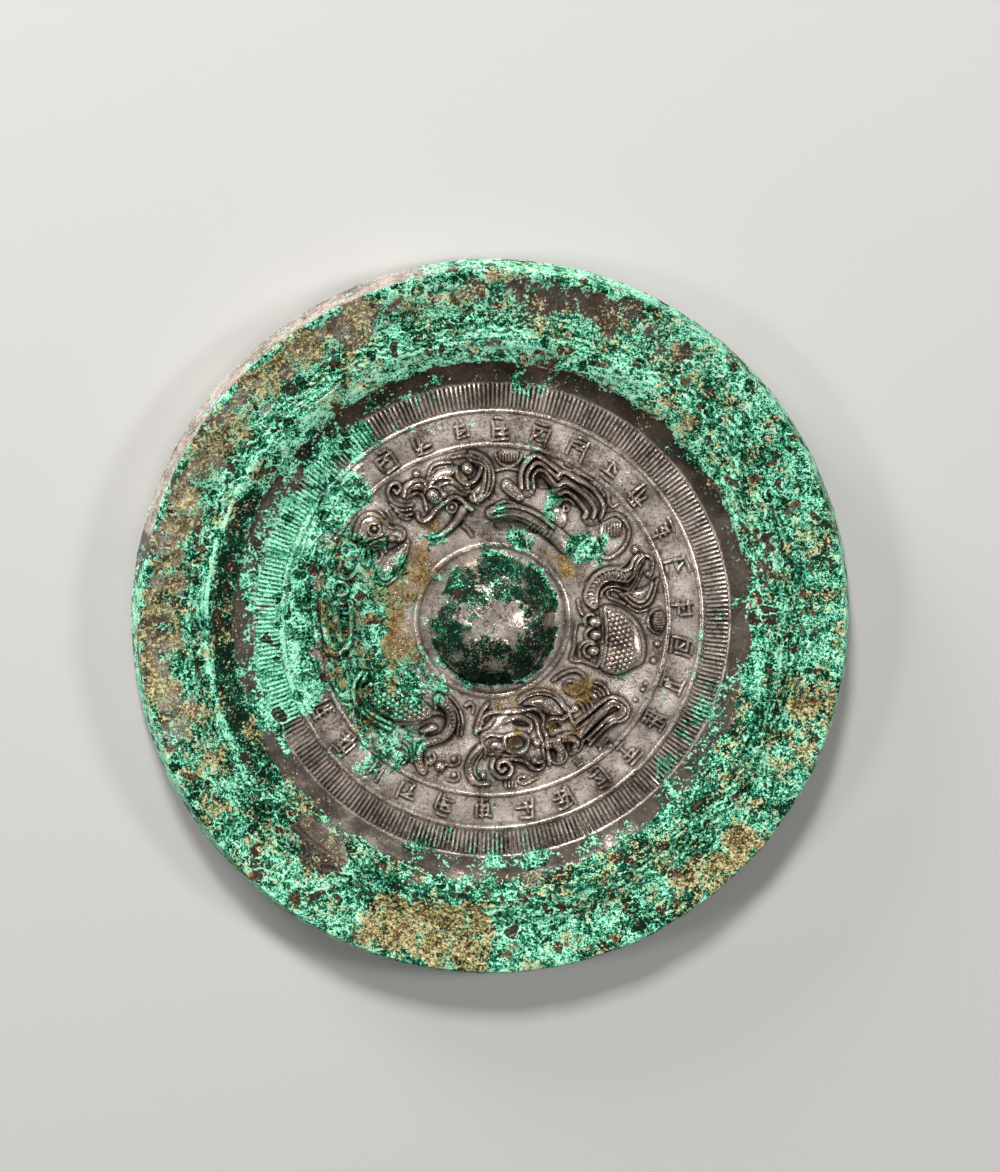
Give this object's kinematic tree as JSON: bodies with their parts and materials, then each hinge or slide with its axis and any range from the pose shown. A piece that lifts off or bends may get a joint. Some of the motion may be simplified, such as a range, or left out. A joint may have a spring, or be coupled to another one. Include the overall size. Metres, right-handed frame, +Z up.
{
  "type": "ancient bronze mirror",
  "caption": "Round cast bronze mirror with a raised rim, a pierced central knob for a cord, comb-tooth and sign bands, and a ring of dragon and tiger relief.",
  "frame": {"origin": "under the middle of the disc, on the surface that it lies on", "axes": "+Z up out of the decorated back, along the disc's axis; the cord tunnel through the knob runs along Y"},
  "size_m": [0.13, 0.13, 0.0122],
  "materials": {
    "bronze": "high-tin bronze, bare silver-grey in the middle, green malachite crust and tan soil on the rim"
  },
  "bodies": {
    "root": {"mirror": "bronze"}
  },
  "joints": []
}
